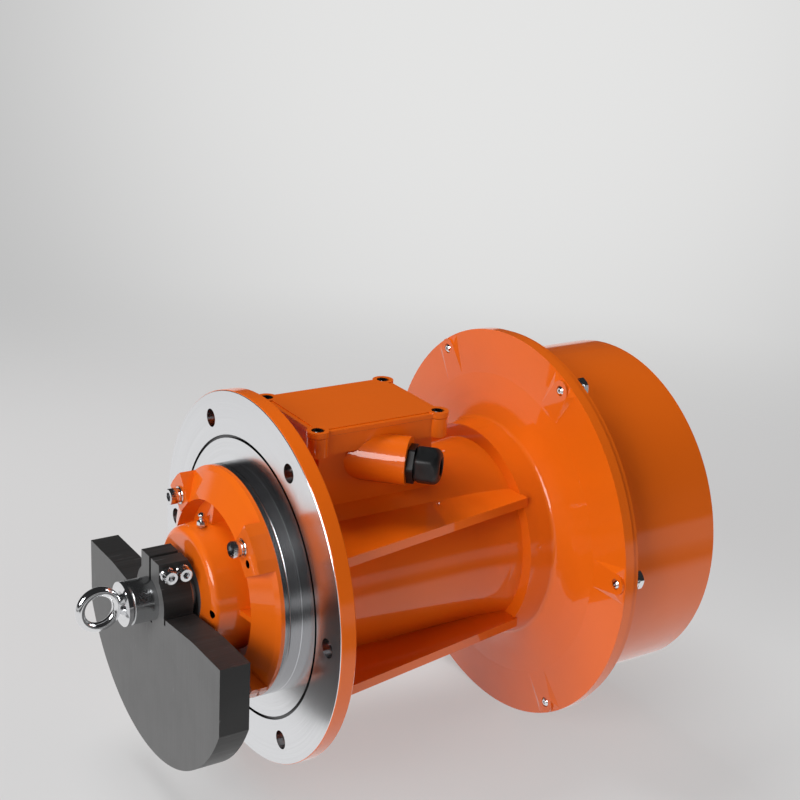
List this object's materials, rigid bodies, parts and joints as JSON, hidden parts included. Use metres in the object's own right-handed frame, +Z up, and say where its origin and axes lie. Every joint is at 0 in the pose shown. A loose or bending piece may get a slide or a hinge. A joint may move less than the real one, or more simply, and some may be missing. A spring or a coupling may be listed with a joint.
{
  "type": "vibration_motor",
  "caption": "Flange-mounted vibration motor with ribbed orange housing, terminal box and cable gland, bare eccentric weight on the front shaft end and a second weight under a bolted drum.",
  "frame": {"origin": "centre of the mounting flange's machined face, on the shaft's axis", "axes": "+X along the shaft from the bare front weight to the rear drum, +Z up through the terminal box, +Y to the side away from the cable gland"},
  "size_m": [0.5936, 0.3974, 0.3974],
  "materials": {
    "orange_paint": "glossy orange enamel over a casting, machined faces left bare",
    "ground_steel": "ground steel, smooth and bright",
    "dark_steel": "dark oiled steel plate",
    "bright_zinc": "bright plated",
    "black_oxide": "blackened, satin",
    "lamination": "stacked sheet, matt",
    "cast_alloy": "die cast, satin",
    "copper_winding": "enamelled copper wire, varnished",
    "bearing_brass": "machined brass",
    "seal_rubber": "moulded rubber, matt",
    "black_plastic": "moulded plastic, slightly glossy",
    "terminal_moulding": "moulded resin",
    "terminal_brass": "turned brass"
  },
  "bodies": {
    "frame": {"motor_housing": "orange_paint", "front_bearing_shield": "orange_paint", "front_shield_screws": "bright_zinc", "front_shield_washers": "bright_zinc", "front_spring_washers": "bright_zinc", "front_grease_nipple": "bright_zinc", "rear_bearing_shield": "orange_paint", "rear_shield_screws": "bright_zinc", "front_bearing_outer_ring": "ground_steel", "rear_bearing_outer_ring": "ground_steel", "front_shaft_seal": "seal_rubber", "rear_shaft_seal": "seal_rubber", "front_inner_cover": "cast_alloy", "rear_inner_cover": "cast_alloy", "front_inner_cover_screws": "bright_zinc", "rear_inner_cover_screws": "bright_zinc", "stator_core": "lamination", "stator_winding": "copper_winding", "cover_gasket": "seal_rubber", "rear_weight_cover": "orange_paint", "cover_washers": "bright_zinc", "cover_bolts": "bright_zinc", "terminal_box_gasket": "seal_rubber", "terminal_box_lid": "orange_paint", "terminal_lid_screws": "black_oxide", "terminal_block": "terminal_moulding", "terminal_studs": "terminal_brass", "terminal_nuts": "terminal_brass", "cable_gland_body": "black_plastic", "cable_gland_nut": "black_plastic", "cable_gland_seal": "seal_rubber"},
    "rotor": {"shaft": "ground_steel", "rotor_core": "lamination", "rotor_cage": "cast_alloy", "front_bearing_inner_ring": "ground_steel", "rear_bearing_inner_ring": "ground_steel", "front_eccentric_weight": "dark_steel", "front_clamp_screws": "bright_zinc", "front_clamp_washers": "bright_zinc", "front_weight_key": "ground_steel", "lifting_eye": "bright_zinc", "rear_spacer": "ground_steel", "shaft_end_plate": "ground_steel", "shaft_end_screw": "bright_zinc"},
    "rear_weight": {"rear_eccentric_weight": "dark_steel", "rear_clamp_screws": "bright_zinc", "rear_clamp_washers": "bright_zinc"},
    "front_roller_set": {"front_bearing_rollers": "ground_steel", "front_bearing_cage": "bearing_brass"},
    "rear_roller_set": {"rear_bearing_rollers": "ground_steel", "rear_bearing_cage": "bearing_brass"}
  },
  "joints": [
    {"name": "rotor_spin", "type": "hinge", "parent": "frame", "child": "rotor", "pos_m": [0.125, 0, 0], "axis": [1, 0, 0], "continuous": true},
    {"name": "rear_weight_setting", "type": "hinge", "parent": "rotor", "child": "rear_weight", "pos_m": [0.372, 0, 0], "axis": [1, 0, 0], "range_deg": [-90, 90]},
    {"name": "front_cage_spin", "type": "hinge", "parent": "frame", "child": "front_roller_set", "pos_m": [-0.034, 0, 0], "axis": [1, 0, 0], "continuous": true},
    {"name": "rear_cage_spin", "type": "hinge", "parent": "frame", "child": "rear_roller_set", "pos_m": [0.27, 0, 0], "axis": [1, 0, 0], "continuous": true}
  ],
  "couplings": [
    {"joint": "front_cage_spin", "follows": "rotor_spin", "ratio": 0.4},
    {"joint": "rear_cage_spin", "follows": "rotor_spin", "ratio": 0.4}
  ]
}
